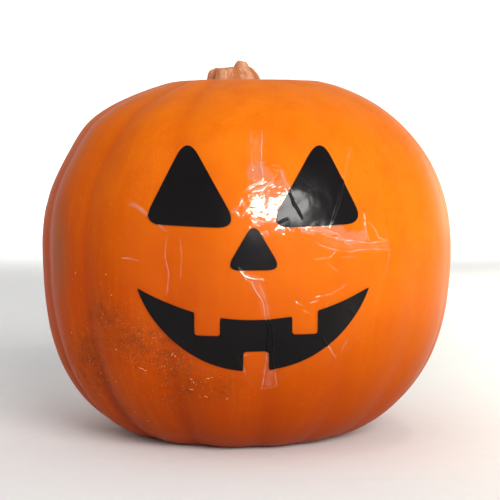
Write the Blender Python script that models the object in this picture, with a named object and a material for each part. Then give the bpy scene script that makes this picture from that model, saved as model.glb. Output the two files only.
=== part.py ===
"""A whole ribbed pumpkin with its dry stem, and a black face print on a creased clear film on its skin.

Metres, +Z up. The face looks along -Y, and +X is to the right of someone who looks at it.
The origin is on the surface that the pumpkin stands on, under the middle of the whole.
Azimuths run from the middle of the face towards +X.
"""

import math

import bmesh
import bpy
import numpy as np
from mathutils import Vector
from mathutils.bvhtree import BVHTree

SHARP_EDGE = math.radians(40)

# The fruit
FRUIT_WIDTH = 0.278
FRUIT_DEPTH = 0.270
WIDEST_LEVEL = 0.1291
CROWN_RISE = 0.1166
BELLY_DROP = 0.1363
CROWN_SQUARENESS = (2.18, 2.12)
BELLY_SQUARENESS = (3.05, 2.45)
BELLY_SHIFT = -0.0042
CROWN_LEAN = 0.004
RIB_COUNT = 14
RIB_DEPTH = 0.0026
CROWN_RIB_GAIN = 0.9
RIB_FADE = 0.6
RIB_EASE = 0.65
RIB_EASE_AZIMUTH = math.radians(60)
BELLY_RIB_GAIN = 1.6
FIRST_GROOVE = math.radians(-20)
GROOVE_SOFTNESS = 0.17
STEM_HOLLOW_DEPTH = 0.015
STEM_HOLLOW_RADIUS = 0.036
STEM_SHIFT = -0.012
STEM_SHIFT_REACH = 6
SEAT_RADIUS = 0.021
FOOT_SOFTNESS = 0.0025
FOOT_FLATTENING = 0.0006
BLOSSOM_HOLLOW_DEPTH = 0.012
BLOSSOM_HOLLOW_RADIUS = 0.018
HOLLOW_RING_RADIUS = 0.026
HOLLOW_RING_GAIN = 1.6
SEGMENTS = 84
RINGS = 38

# A shoulder that bulges to the left of the face
SHOULDER_AZIMUTH = math.radians(-90)
SHOULDER_LEVEL = 0.217
SHOULDER_REACH = 0.019
SHOULDER_BULGE = 0.0066
SHOULDER_NARROWNESS = 1.6
SHOULDER_FADE = 3

# No pumpkin grows quite even: waves round the fruit, the size of each, and its phase
RIB_UNEVENNESS = ((1, 0.065, 0.17), (2, 0.021, -2.21), (3, -0.048, 0.99))
GROOVE_WANDER = ((6, 0.07, 0.77),)
PLAN_SWELL = ((3, 0.006, 2.67), (5, 0.004, 1.17))

# The stem
STEM_FOOT_RADIUS = 0.0188
STEM_TOP_RADIUS = 0.0140
STEM_TAPER = 4
STEM_HEIGHT = 0.0176
STEM_RIDGES = 6
STEM_RIDGE_DEPTH = 0.0021
STEM_RIDGE_TURN = math.radians(-21)
STEM_RIDGE_SHARPNESS = 1.4
KNOB_RISE = 0.0040
KNOB_RADIUS = 0.0047
KNOB_PLACE = (0.0052, -0.0055)
SLOPE_START = 0.0115
SLOPE_STEEPNESS = 0.4
BREAK_RISE = 0.0004
BREAK_LENGTH = 0.024
STEM_SEGMENTS = 48
STEM_LEVELS = (0, 0.1, 0.22, 0.38, 0.56, 0.76, 0.93)
STEM_TOP_RINGS = (0.96, 0.84, 0.66, 0.46, 0.24)

# The film and the print on it
LAYER_GAP = 0.0004
FILM_GAP = 0.0008
SHEET_THICKNESS = 0.0005
FILM_LEFT, FILM_RIGHT = -0.078, 0.089
FILM_BOTTOM, FILM_TOP = 0.046, 0.205
FILM_CORNER = 0.012
GRID_STEP = 0.008
PLEAT_HEIGHT = 0.0016
PLEAT_WIDTH = 0.0022
CREASE_X = 0.0085
CHIN_PLEAT_TOP = 0.118
BROW_PLEAT_BOTTOM = 0.185
CHEEK_PLEAT_Z = 0.131
CHEEK_PLEAT_LEFT = 0.045
PLEAT_FADE = 0.012
PLEAT_LINES = (-2.2, -1, 0, 1, 2.2)
PLEAT_REACH = 3.2

# The face, measured across the front as sideways place and height above the ground
FACE_CENTRE_X = 0.005
EYE_CORNERS = ((-0.029, 0.146), (0.030, 0.148), (0.003, 0.202))
EYE_OFFSET = 0.037
EYE_CORNER_RADIUS = 0.008
NOSE_CORNERS = ((-0.017, 0.121), (0.017, 0.121), (0.0, 0.150))
NOSE_CORNER_RADIUS = 0.005
MOUTH_HALF_WIDTH = 0.071
MOUTH_CORNER_Z = 0.109
MOUTH_UPPER_Z = 0.091
MOUTH_LOWER_Z = 0.059
MOUTH_CORNER_RADIUS = 0.0022
UPPER_TEETH_X = (-0.028, 0.031)
LOWER_TEETH_X = (0.0015,)
TOOTH_WIDTH = 0.0155
TOOTH_HEIGHT = 0.0125
CURVE_STEP = 0.008
FILLET_POINTS = 3
SHARP_TURN = math.radians(28)
LONGEST_FILLET = 0.45


def clear_scene():
    for item in list(bpy.data.objects):
        bpy.data.objects.remove(item)


def finish_of(name, colour, roughness, alpha=1.0):
    material = bpy.data.materials.new(name)
    material.use_nodes = True
    surface = material.node_tree.nodes["Principled BSDF"]
    surface.inputs["Base Color"].default_value = (*colour, 1.0)
    surface.inputs["Roughness"].default_value = roughness
    surface.inputs["Metallic"].default_value = 0.0
    surface.inputs["Alpha"].default_value = alpha
    return material


def object_from(name, shape, material):
    """Turns a bmesh into a smooth-shaded object with one material."""
    bmesh.ops.recalc_face_normals(shape, faces=shape.faces)
    mesh = bpy.data.meshes.new(name)
    shape.to_mesh(mesh)
    shape.free()
    mesh.shade_smooth()
    mesh.set_sharp_from_angle(angle=SHARP_EDGE)
    mesh.materials.append(material)
    made = bpy.data.objects.new(name, mesh)
    bpy.context.scene.collection.objects.link(made)
    return made


def waves(azimuth, terms):
    return sum(size * math.sin(count * azimuth + phase) for count, size, phase in terms)


def level_of(share, across):
    """Level, up or down from the widest, at which the outline has this share of its full radius."""
    return math.acos(share ** (across / 2))


def profile(level):
    """Radius and height of the plain outline, at a level from -90 degrees (under) to 90 (crown).

    Its squareness is one number across and another upwards.
    """
    rising = math.sin(level) >= 0
    across, upwards = CROWN_SQUARENESS if rising else BELLY_SQUARENESS
    reach = CROWN_RISE if rising else BELLY_DROP
    share = abs(math.cos(level)) ** (2 / across)
    height = math.copysign(reach * abs(math.sin(level)) ** (2 / upwards), math.sin(level))
    radius = share * FRUIT_WIDTH / 2
    if rising:
        height -= STEM_HOLLOW_DEPTH * math.exp(-((radius / STEM_HOLLOW_RADIUS) ** 4))
    else:
        height += BLOSSOM_HOLLOW_DEPTH * math.exp(-((radius / BLOSSOM_HOLLOW_RADIUS) ** 2))
    return radius, WIDEST_LEVEL + height


def rib_lobe(azimuth, crown):
    """0 in a groove and 1 on the crest of a rib. Near the crown the grooves wander off their meridians."""
    ahead = waves(azimuth, RIB_UNEVENNESS) - waves(FIRST_GROOVE, RIB_UNEVENNESS)
    wander = waves(azimuth, GROOVE_WANDER) * crown**2
    turn = azimuth - FIRST_GROOVE + ahead - wander
    soft = math.hypot(math.sin(RIB_COUNT * turn / 2), GROOVE_SOFTNESS)
    return (soft - GROOVE_SOFTNESS) / (math.hypot(1, GROOVE_SOFTNESS) - GROOVE_SOFTNESS)


def seat_level():
    return level_of(SEAT_RADIUS / (FRUIT_WIDTH / 2), CROWN_SQUARENESS[0])


def seat_height():
    """Height of the flat spot, at the bottom of the hollow, that the stem grows from."""
    return profile(seat_level())[1]


def foot_level():
    """Level at which the belly meets the ground and the flat foot begins."""
    sunk = FOOT_SOFTNESS**2 / (4 * FOOT_FLATTENING) - FOOT_FLATTENING
    return -math.asin(((WIDEST_LEVEL + sunk) / BELLY_DROP) ** (BELLY_SQUARENESS[1] / 2))


def settled(height):
    """Height over the ground once the fruit's own weight has flattened its underside."""
    return max(0.0, (height + math.hypot(height, FOOT_SOFTNESS)) / 2 - FOOT_FLATTENING)


def shoulder(azimuth, height, share):
    """How far the skin bulges out at the shoulder."""
    around = math.exp(SHOULDER_NARROWNESS * (math.cos(azimuth - SHOULDER_AZIMUTH) - 1))
    along = math.exp(-(((height - SHOULDER_LEVEL) / SHOULDER_REACH) ** 2))
    return SHOULDER_BULGE * around * along * min(1, SHOULDER_FADE * share)


def skin_point(azimuth, level):
    radius, height = profile(level)
    share = radius / (FRUIT_WIDTH / 2)
    crown = max(0.0, math.sin(level))
    under = max(0.0, -math.sin(level))
    if crown and level > seat_level():
        height = seat_height()
    else:
        eased = 1 - RIB_EASE * ((1 + math.cos(azimuth - RIB_EASE_AZIMUTH)) / 2) ** 2
        gain = 1 + CROWN_RIB_GAIN * crown**4 + BELLY_RIB_GAIN * under
        depth = RIB_DEPTH * share**RIB_FADE * gain * eased
        radius = radius * (1 + waves(azimuth, PLAN_SWELL)) + depth * (rib_lobe(azimuth, crown) - 1)
        radius += shoulder(azimuth, height, share)
    shift = BELLY_SHIFT * under**2 + CROWN_LEAN * crown**3
    if crown:
        shift += STEM_SHIFT * min(1.0, (1 - share) / (1 - 2 * SEAT_RADIUS / FRUIT_WIDTH)) ** STEM_SHIFT_REACH
    x = shift + radius * math.sin(azimuth)
    y = -radius * math.cos(azimuth) * FRUIT_DEPTH / FRUIT_WIDTH
    return Vector((x, y, settled(height)))


def ring_levels():
    """Levels spaced along the skin, closer in the hollows, with one on the seat's edge and the foot's."""
    fine = np.radians(np.linspace(-90, 90, 1801))
    outline = np.array([profile(level) for level in fine])
    steps = np.hypot(*np.diff(outline, axis=0).T)
    middles = (outline[1:, 0] + outline[:-1, 0]) / 2
    weights = steps * (1 + HOLLOW_RING_GAIN * np.exp(-((middles / HOLLOW_RING_RADIUS) ** 2)))
    travelled = np.concatenate([[0], np.cumsum(weights)])
    levels = np.interp(np.linspace(0, travelled[-1], RINGS + 1), travelled, fine)
    for edge in (seat_level(), foot_level()):
        levels[np.argmin(np.abs(levels - edge))] = edge
    return levels[1:-1]


def bridge_rings(shape, rings):
    """Joins each ring of vertices to the next with quads."""
    count = len(rings[0])
    for lower, upper in zip(rings, rings[1:]):
        for i in range(count):
            j = (i + 1) % count
            shape.faces.new((lower[i], lower[j], upper[j], upper[i]))


def close_with_fan(shape, ring, tip):
    for i in range(len(ring)):
        shape.faces.new((ring[i], ring[(i + 1) % len(ring)], tip))


def make_fruit(material):
    shape = bmesh.new()
    azimuths = [2 * math.pi * i / SEGMENTS for i in range(SEGMENTS)]
    rings = [
        [shape.verts.new(skin_point(azimuth, level)) for azimuth in azimuths]
        for level in ring_levels()
    ]
    bridge_rings(shape, rings)
    under = shape.verts.new(skin_point(0, -math.pi / 2))
    close_with_fan(shape, rings[0], under)
    crown = shape.verts.new((STEM_SHIFT + CROWN_LEAN, 0, settled(seat_height())))
    close_with_fan(shape, rings[-1], crown)
    return object_from("pumpkin", shape, material)


def stem_outline(angle, share, inset=1.0):
    """Sideways and depth place on the stem's ridged side, at a share of its height."""
    plain = STEM_TOP_RADIUS + (STEM_FOOT_RADIUS - STEM_TOP_RADIUS) * (1 - share**STEM_TAPER)
    lobe = abs(math.cos(STEM_RIDGES * angle / 2 + STEM_RIDGE_TURN)) ** STEM_RIDGE_SHARPNESS
    radius = inset * (plain + STEM_RIDGE_DEPTH * (lobe - 1) * (1 + share) / 2)
    return radius * math.cos(angle), radius * math.sin(angle)


def stem_top(x, y):
    """Height of the broken top over the stem's base: one knob stands up, and one side slopes off."""
    away = math.hypot(x - KNOB_PLACE[0], y - KNOB_PLACE[1])
    knob = KNOB_RISE * math.exp(-((away / KNOB_RADIUS) ** 6))
    slope = SLOPE_STEEPNESS * max(0.0, x - SLOPE_START)
    wave = 2 * math.pi / BREAK_LENGTH
    rough = BREAK_RISE * (math.sin(wave * x + 0.6) + math.cos(1.2 * wave * y))
    return STEM_HEIGHT + knob - slope + rough


def make_stem(material):
    base = settled(seat_height()) + LAYER_GAP
    middle = STEM_SHIFT + CROWN_LEAN
    angles = [2 * math.pi * i / STEM_SEGMENTS for i in range(STEM_SEGMENTS)]
    shape = bmesh.new()
    rings = []
    for share, inset in [(s, 1) for s in STEM_LEVELS] + [(1, i) for i in STEM_TOP_RINGS]:
        places = [stem_outline(angle, share, inset) for angle in angles]
        ring = [shape.verts.new((middle + x, y, base + share * stem_top(x, y))) for x, y in places]
        rings.append(ring)
    bridge_rings(shape, rings)
    close_with_fan(shape, rings[-1], shape.verts.new((middle, 0, base + stem_top(0, 0))))
    close_with_fan(shape, rings[0], shape.verts.new((middle, 0, base)))
    return object_from("stem", shape, material)


def softened(outline, radius):
    """Rounds each sharp corner of a closed outline with an arc-like fillet."""
    points = [Vector(point) for point in outline]
    made = []
    for i, corner in enumerate(points):
        before, after = points[i - 1], points[(i + 1) % len(points)]
        turn = (corner - before).angle(after - corner, 0.0)
        if turn < SHARP_TURN:
            made.append(corner)
            continue
        reach = radius * math.tan(turn / 2)
        back = min(reach, LONGEST_FILLET * (before - corner).length)
        forth = min(reach, LONGEST_FILLET * (after - corner).length)
        first = corner + (before - corner).normalized() * back
        last = corner + (after - corner).normalized() * forth
        for k in range(FILLET_POINTS + 1):
            t = k / FILLET_POINTS
            made.append(first * (1 - t) ** 2 + corner * (2 * t * (1 - t)) + last * t**2)
    return made


def curve_between(height_at, start, end):
    """Points of a curve from one sideways place to another, without its last point."""
    count = max(1, round(abs(end - start) / CURVE_STEP))
    places = [start + (end - start) * k / count for k in range(count)]
    return [(x, height_at(x)) for x in places]


def lip_height(middle):
    """Height of a lip that runs as an arc through both corners of the mouth and its middle."""
    sag = MOUTH_CORNER_Z - middle
    radius = (MOUTH_HALF_WIDTH**2 + sag**2) / (2 * sag)
    return lambda x: middle + radius - math.sqrt(radius**2 - x**2)


def toothed_lip(height_at, teeth, tooth_height):
    """A lip from left to right with a square tooth at each place given."""
    made = []
    start = -MOUTH_HALF_WIDTH
    for middle in teeth:
        left, right = middle - TOOTH_WIDTH / 2, middle + TOOTH_WIDTH / 2
        made += curve_between(height_at, start, left)
        tip = height_at(middle) + tooth_height
        made += [(left, height_at(left)), (left, tip), (right, tip)]
        start = right
    return made + curve_between(height_at, start, MOUTH_HALF_WIDTH)


def mouth_outline():
    lower = toothed_lip(lip_height(MOUTH_LOWER_Z), LOWER_TEETH_X, TOOTH_HEIGHT)
    upper = toothed_lip(lip_height(MOUTH_UPPER_Z), UPPER_TEETH_X, -TOOTH_HEIGHT)
    corner = (MOUTH_HALF_WIDTH, MOUTH_CORNER_Z)
    return softened(lower + [corner] + upper[:0:-1], MOUTH_CORNER_RADIUS)


def eye_outline(side):
    return softened([(side * (EYE_OFFSET + x), z) for x, z in EYE_CORNERS], EYE_CORNER_RADIUS)


def film_outline():
    corners = [
        (FILM_LEFT, FILM_BOTTOM + 0.016),
        (CREASE_X - 0.008, FILM_BOTTOM),
        (CREASE_X + 0.013, FILM_BOTTOM + 0.002),
        (FILM_RIGHT - 0.020, FILM_BOTTOM + 0.026),
        (FILM_RIGHT, CHEEK_PLEAT_Z - 0.002),
        (FILM_RIGHT - 0.012, FILM_TOP - 0.013),
        (CREASE_X, FILM_TOP),
        (FILM_LEFT + 0.010, FILM_TOP - 0.013),
    ]
    return softened([(x - FACE_CENTRE_X, z) for x, z in corners], FILM_CORNER)


def fade(value, start):
    """0 before start, and 1 once past it by the fading distance."""
    t = min(1.0, max(0.0, (value - start) / PLEAT_FADE))
    return t * t * (3 - 2 * t)


def pleat(distance):
    return PLEAT_HEIGHT * math.exp(-((distance / PLEAT_WIDTH) ** 2))


def pleat_height(x, z):
    """Height of the three creases where the flat film was gathered to go round the fruit."""
    chin = pleat(x - CREASE_X) * fade(CHIN_PLEAT_TOP, z)
    brow = pleat(x - CREASE_X) * fade(z, BROW_PLEAT_BOTTOM)
    cheek = pleat(z - CHEEK_PLEAT_Z) * fade(x, CHEEK_PLEAT_LEFT)
    return max(chin, brow, cheek)


def grid_lines(low, high, crease):
    """Evenly spaced lines, with closer ones across a crease."""
    count = math.ceil((high - low) / GRID_STEP)
    even = [low + (high - low) * i / count for i in range(1, count)]
    near = [crease + k * PLEAT_WIDTH for k in PLEAT_LINES]
    clear = [place for place in even if abs(place - crease) > PLEAT_REACH * PLEAT_WIDTH]
    return sorted(clear + near)


def cut_flat(shape, along, places):
    """Cuts the flat outline across at each place along an axis."""
    normal = Vector((1, 0, 0)) if along == "x" else Vector((0, 0, 1))
    for place in places:
        everything = shape.verts[:] + shape.edges[:] + shape.faces[:]
        bmesh.ops.bisect_plane(
            shape, geom=everything, dist=1e-6, plane_co=normal * place, plane_no=normal
        )


def laid_sheet(name, outline, lift, skin, material):
    """A thin sheet of this outline, seen from the front, laid on the skin at a height above it."""
    shape = bmesh.new()
    flat = [shape.verts.new((FACE_CENTRE_X + x, 0, z)) for x, z in outline]
    shape.faces.new(flat)
    cut_flat(shape, "x", grid_lines(FILM_LEFT, FILM_RIGHT, CREASE_X))
    cut_flat(shape, "z", grid_lines(FILM_BOTTOM, FILM_TOP, CHEEK_PLEAT_Z))
    bmesh.ops.triangulate(shape, faces=shape.faces[:])
    heart = Vector((0, 0, WIDEST_LEVEL))
    outer = {}
    for vertex in shape.verts[:]:
        x, _, z = vertex.co
        hit = skin.ray_cast(Vector((x, -1, z)), Vector((0, 1, 0)))[0]
        outward = (hit - heart).normalized()
        inner_height = lift + pleat_height(x, z)
        vertex.co = hit + outward * inner_height
        outer[vertex] = hit + outward * (inner_height + SHEET_THICKNESS)
    inner_faces = shape.faces[:]
    rim = [edge for edge in shape.edges if edge.is_boundary]
    above = {vertex: shape.verts.new(place) for vertex, place in outer.items()}
    for face in inner_faces:
        shape.faces.new([above[vertex] for vertex in reversed(face.verts)])
    for edge in rim:
        a, b = edge.verts
        shape.faces.new((a, b, above[b], above[a]))
    return object_from(name, shape, material)


def stand_on_origin(pieces):
    """Moves everything together so that the origin is under the middle, on the ground."""
    corners = np.array([vertex.co for piece in pieces for vertex in piece.data.vertices])
    low, high = corners.min(axis=0), corners.max(axis=0)
    middle = Vector(((low[0] + high[0]) / 2, (low[1] + high[1]) / 2, low[2]))
    for piece in pieces:
        for vertex in piece.data.vertices:
            vertex.co -= middle
        piece.data.update()


def main():
    clear_scene()
    rind = finish_of("rind", (0.80, 0.22, 0.02), 0.42)
    cork = finish_of("cork", (0.58, 0.29, 0.16), 0.8)
    clear_film = finish_of("clear_film", (0.95, 0.80, 0.68), 0.1, alpha=0.25)
    black_print = finish_of("black_print", (0.012, 0.011, 0.013), 0.3)

    fruit = make_fruit(rind)
    stem = make_stem(cork)
    bpy.context.view_layer.update()
    skin = BVHTree.FromObject(fruit, bpy.context.evaluated_depsgraph_get())
    film = laid_sheet("film", film_outline(), FILM_GAP, skin, clear_film)
    print_lift = FILM_GAP + SHEET_THICKNESS + LAYER_GAP
    face = {
        "eye_left": eye_outline(-1),
        "eye_right": eye_outline(1),
        "nose": softened(NOSE_CORNERS, NOSE_CORNER_RADIUS),
        "mouth": mouth_outline(),
    }
    printed = [
        laid_sheet(name, outline, print_lift, skin, black_print)
        for name, outline in face.items()
    ]
    stand_on_origin([fruit, stem, film, *printed])


main()
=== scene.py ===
"""A ribbed pumpkin with its dry stem, and a black face print on a creased clear film on its skin.

Metres, +Z up. The face looks along -Y, and +X is to the right of someone who looks at it.
Azimuths run from the middle of the face towards +X. Places on the skin are given as they are
seen from the front: sideways place and height above the ground.
"""

import math

import bmesh
import bpy
import numpy as np
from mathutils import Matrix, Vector, noise
from mathutils.bvhtree import BVHTree


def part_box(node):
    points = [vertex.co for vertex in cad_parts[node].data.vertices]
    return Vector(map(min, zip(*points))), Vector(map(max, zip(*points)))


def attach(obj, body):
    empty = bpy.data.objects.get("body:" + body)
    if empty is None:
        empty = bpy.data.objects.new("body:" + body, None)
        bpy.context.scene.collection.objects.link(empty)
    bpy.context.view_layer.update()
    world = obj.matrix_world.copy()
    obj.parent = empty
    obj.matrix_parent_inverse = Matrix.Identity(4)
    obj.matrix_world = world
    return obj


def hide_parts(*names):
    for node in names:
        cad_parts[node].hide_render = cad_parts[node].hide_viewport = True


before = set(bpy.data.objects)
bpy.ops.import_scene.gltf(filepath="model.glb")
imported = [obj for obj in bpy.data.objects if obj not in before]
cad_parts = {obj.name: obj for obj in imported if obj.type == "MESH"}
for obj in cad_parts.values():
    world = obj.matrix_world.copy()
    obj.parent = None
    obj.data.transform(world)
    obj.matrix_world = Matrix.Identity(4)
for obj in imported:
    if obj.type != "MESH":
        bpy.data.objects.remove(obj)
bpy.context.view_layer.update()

# Sizes

MM = 0.001

# The fruit, by the names of its tree's inputs
FRUIT = {
    "Width": 0.278,
    "Depth": 0.270,
    "Widest Level": 0.1291,
    "Crown Rise": 0.1166,
    "Belly Drop": 0.1363,
    "Crown Squareness Across": 2.18,
    "Crown Squareness Upwards": 2.12,
    "Belly Squareness Across": 3.05,
    "Belly Squareness Upwards": 2.45,
    "Belly Shift": -0.0042,
    "Crown Lean": 0.004,
    "Rib Count": 14,
    "Rib Depth": 0.0026,
    "Crown Rib Gain": 0.9,
    "Rib Fade": 0.6,
    "Rib Ease": 0.65,
    "Rib Ease Azimuth": math.radians(60),
    "Belly Rib Gain": 1.6,
    "First Groove": math.radians(-20),
    "Groove Softness": 0.17,
    "Stem Hollow Depth": 0.015,
    "Stem Hollow Radius": 0.036,
    "Stem Shift": -0.012,
    "Stem Shift Reach": 6,
    "Seat Radius": 0.021,
    "Foot Softness": 0.0025,
    "Foot Flattening": 0.0006,
    "Blossom Hollow Depth": 0.012,
    "Blossom Hollow Radius": 0.018,
    "Shoulder Azimuth": math.radians(-90),
    "Shoulder Level": 0.217,
    "Shoulder Reach": 0.019,
    "Shoulder Bulge": 0.0066,
    "Shoulder Narrowness": 1.6,
    "Shoulder Fade": 3.0,
    "Swell": 0.0015,
    "Dimple": 0.00050,
    "Pore": 0.00007,
    "Neck Wrinkle": 0.00045,
    "Segments": 440,
    "Rings": 220,
    "Seed": 7,
}
RIB_UNEVENNESS = ((1, 0.065, 0.17), (2, 0.021, -2.21), (3, -0.048, 0.99))
GROOVE_WANDER = ((6, 0.07, 0.77),)
PLAN_SWELL = ((3, 0.006, 2.67), (5, 0.004, 1.17))
SWELL_SCALE, DIMPLE_SCALE, PORE_SCALE = 15, 52, 190
WRINKLE_SCALE = (30, 30, 3)
NECK_START, NECK_END = 0.93, 0.99
SMOOTH_FOOT = 0.006
HEART = Vector((0, 0, FRUIT["Widest Level"]))
SHARP_EDGE = math.radians(50)

# The stem, and the break on its top
STEM_FOOT_RADIUS = 0.0188
STEM_TOP_RADIUS = 0.0140
STEM_TAPER = 4
STEM_HEIGHT = 0.0176
STEM_RIDGES = 6
STEM_RIDGE_DEPTH = 0.0021
STEM_RIDGE_TURN = math.radians(-21)
STEM_RIDGE_SHARPNESS = 1.4
KNOB_RISE = 0.0040
KNOB_RADIUS = 0.0047
KNOB_PLACE = (0.0052, -0.0055)
SLOPE_START = 0.0115
SLOPE_STEEPNESS = 0.4
BREAK_RISE = 0.0004
NOTCH_X = -0.0137
NOTCH_WIDTH = 0.0011
NOTCH_DEPTH = 0.0009
BREAK_LENGTH = 0.024
# Roughness of the break: height, scale and place in the noise
BREAK_RELIEF = ((0.0008, 260, 0), (0.00035, 700, 0.1))
STEM_SINK = 0.0022
STEM_FLARE = 0.0021
STEM_FLARE_REACH = 0.09
# Fibres, strands and lumps of its side: height, and the noise's scale round the stem and along it
STEM_RELIEF = ((0.00042, 9, 1.6), (0.0002, 24, 3), (0.0007, 2.2, 3.1))
STEM_SINK_SHARPNESS = 8
STEM_EDGE_ROUNDING = 0.0009
EDGE_SHARPNESS_BELOW, EDGE_SHARPNESS_ABOVE = 10, 14
STEM_DISH = 0.0004
STEM_DISH_SHARPNESS = 4
# The grain's scales round the stem, along it and towards the middle of its top
GRAIN_ROUND, GRAIN_ALONG, GRAIN_INWARD = 14, 3.5, 6
STEM_SEGMENTS = 300
STEM_LEVELS = 64
STEM_TOP_RINGS = 34

# The film and the print on it
FILM_GAP = 0.0003
FILM_THICKNESS = 0.00012
PRINT_GAP = 0.00012
PRINT_THICKNESS = 0.0001
SHEET_STEP = 0.0012
FOLD_REACHES = (0.0022, 0.0012)
NARROW_FOLD = 1 * MM
SHORTEST_EDGE = 1e-6
CUT_TOLERANCE = 1e-7
# How far in front of the middle the nicks and the sheets start before they are laid on the skin
NICKS_FROM, SHEETS_FROM = 0.3, 1.0
# The film's cut edge, in millimetres, with the tab under the chin
FILM_CORNERS = (
    (-78, 62), (-38, 56), (0.5, 53), (4.6, 46.2), (20, 48.5), (27, 57.5), (38, 60), (54, 62.5),
    (68, 73.5), (82, 100), (89, 129), (85, 152), (78, 191), (45, 200), (8.5, 205), (-30, 201),
    (-68, 192), (-76, 130),
)
FILM_CORNER_RADIUS = 0.006
EYE_CORNERS = ((-0.029, 0.146), (0.030, 0.148), (0.003, 0.202))
EYE_OFFSET = 0.037
EYE_CORNER_RADIUS = 0.008
NOSE_CORNERS = ((-0.017, 0.121), (0.017, 0.121), (0.0, 0.150))
NOSE_CORNER_RADIUS = 0.005
MOUTH_HALF_WIDTH = 0.071
MOUTH_CORNER_Z = 0.109
MOUTH_UPPER_Z = 0.091
MOUTH_LOWER_Z = 0.059
MOUTH_CORNER_RADIUS = 0.0022
UPPER_TEETH_X = (-0.028, 0.031)
LOWER_TEETH_X = (0.0015,)
TOOTH_WIDTH = 0.0155
TOOTH_HEIGHT = 0.0125
CURVE_STEP = 0.002
FILLET_POINTS = 9
SHARP_TURN = math.radians(28)
LONGEST_FILLET = 0.45

# Node trees


class Value:
    """A number, vector or colour of a node tree that works in Python expressions."""

    def __init__(self, tree, socket):
        self.tree = tree
        self.socket = socket

    def __add__(self, other):
        return self.tree.maths("ADD", self, other)

    def __radd__(self, other):
        return self.tree.maths("ADD", other, self)

    def __sub__(self, other):
        return self.tree.maths("SUBTRACT", self, other)

    def __rsub__(self, other):
        return self.tree.maths("SUBTRACT", other, self)

    def __mul__(self, other):
        return self.tree.maths("MULTIPLY", self, other)

    def __rmul__(self, other):
        return self.tree.maths("MULTIPLY", other, self)

    def __truediv__(self, other):
        return self.tree.maths("DIVIDE", self, other)

    def __rtruediv__(self, other):
        return self.tree.maths("DIVIDE", other, self)

    def __pow__(self, other):
        return self.tree.maths("POWER", self, other)

    def __abs__(self):
        return self.tree.maths("ABSOLUTE", self)

    def sin(self):
        return self.tree.maths("SINE", self)

    def cos(self):
        return self.tree.maths("COSINE", self)

    def exp(self):
        return self.tree.maths("EXPONENT", self)

    def root(self):
        return self.tree.maths("SQRT", self)

    def at_most(self, other):
        return self.tree.maths("MINIMUM", self, other)

    def at_least(self, other):
        return self.tree.maths("MAXIMUM", self, other)

    def above(self, other):
        return self.tree.maths("GREATER_THAN", self, other)

    def step(self, low, high):
        """0 below low, 1 above high and a soft step between; the other way round if low is larger."""
        return self.tree.node(
            "ShaderNodeMapRange",
            {"interpolation_type": "SMOOTHSTEP"},
            {"Value": self, "From Min": low, "From Max": high},
        )


class Tree:
    """A node tree in the making."""

    def __init__(self, nodes_and_links):
        self.made = nodes_and_links

    def node(self, kind, settings=None, sockets=None, output=0):
        """Adds a node. Its settings go in first, then the values or links of its sockets."""
        node = self.made.nodes.new(kind)
        for name, setting in (settings or {}).items():
            setattr(node, name, setting)
        for name, value in (sockets or {}).items():
            self.feed(node.inputs[name], value)
        return None if output is None else Value(self, node.outputs[output])

    def feed(self, socket, value):
        if isinstance(value, Value):
            self.made.links.new(value.socket, socket)
        elif socket.type == "VECTOR" and not hasattr(value, "__len__"):
            socket.default_value = (value,) * 3
        elif socket.type == "RGBA":
            socket.default_value = (*value[:3], 1.0)
        else:
            socket.default_value = value

    def maths(self, operation, *values):
        """One Math node, or one Vector Math node where a value is a vector."""
        kinds = [value.socket.type for value in values if isinstance(value, Value)]
        kind = "ShaderNodeVectorMath" if "VECTOR" in kinds else "ShaderNodeMath"
        return self.node(kind, {"operation": operation}, dict(enumerate(values)))

    def parts(self, vector):
        return [self.node("ShaderNodeSeparateXYZ", {}, {0: vector}, i) for i in range(3)]

    def vector(self, x, y, z):
        return self.node("ShaderNodeCombineXYZ", {}, {0: x, 1: y, 2: z})

    def mix(self, share, first, second):
        """A colour between two."""
        settings = {"data_type": "RGBA", "clamp_result": False}
        return self.node("ShaderNodeMix", settings, {0: share, 6: first, 7: second}, 2)

    def clouds(self, place, scale, detail=2.0, roughness=0.5, warp=0.0):
        """Soft noise from 0 to 1 over places, with its scale per metre."""
        sockets = {
            "Vector": place,
            "Scale": scale,
            "Detail": detail,
            "Roughness": roughness,
            "Distortion": warp,
        }
        return self.node("ShaderNodeTexNoise", {}, sockets)

    def cells(self, place, scale):
        """Distance from the middles of random cells, with their scale per metre."""
        return self.node("ShaderNodeTexVoronoi", {}, {"Vector": place, "Scale": scale}, "Distance")


class Finish(Tree):
    """A material in the making."""

    def __init__(self, name):
        self.material = bpy.data.materials.new(name)
        self.material.use_nodes = True
        super().__init__(self.material.node_tree)
        self.made.nodes.clear()

    def place(self):
        return self.node("ShaderNodeTexCoord", {}, {}, "Object")

    def stored(self, name, output="Fac"):
        """A value that the mesh keeps at each point."""
        return self.node("ShaderNodeAttribute", {"attribute_name": name}, {}, output)

    def bump(self, height):
        """A normal for a height in metres."""
        sockets = {"Height": height, "Distance": 1.0, "Strength": 1.0}
        return self.node("ShaderNodeBump", {}, sockets)

    def principled(self, **sockets):
        named = {name.replace("_", " "): value for name, value in sockets.items()}
        return self.node("ShaderNodeBsdfPrincipled", {}, named)

    def close(self, shader):
        self.node("ShaderNodeOutputMaterial", {}, {"Surface": shader}, None)
        return self.material


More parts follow.
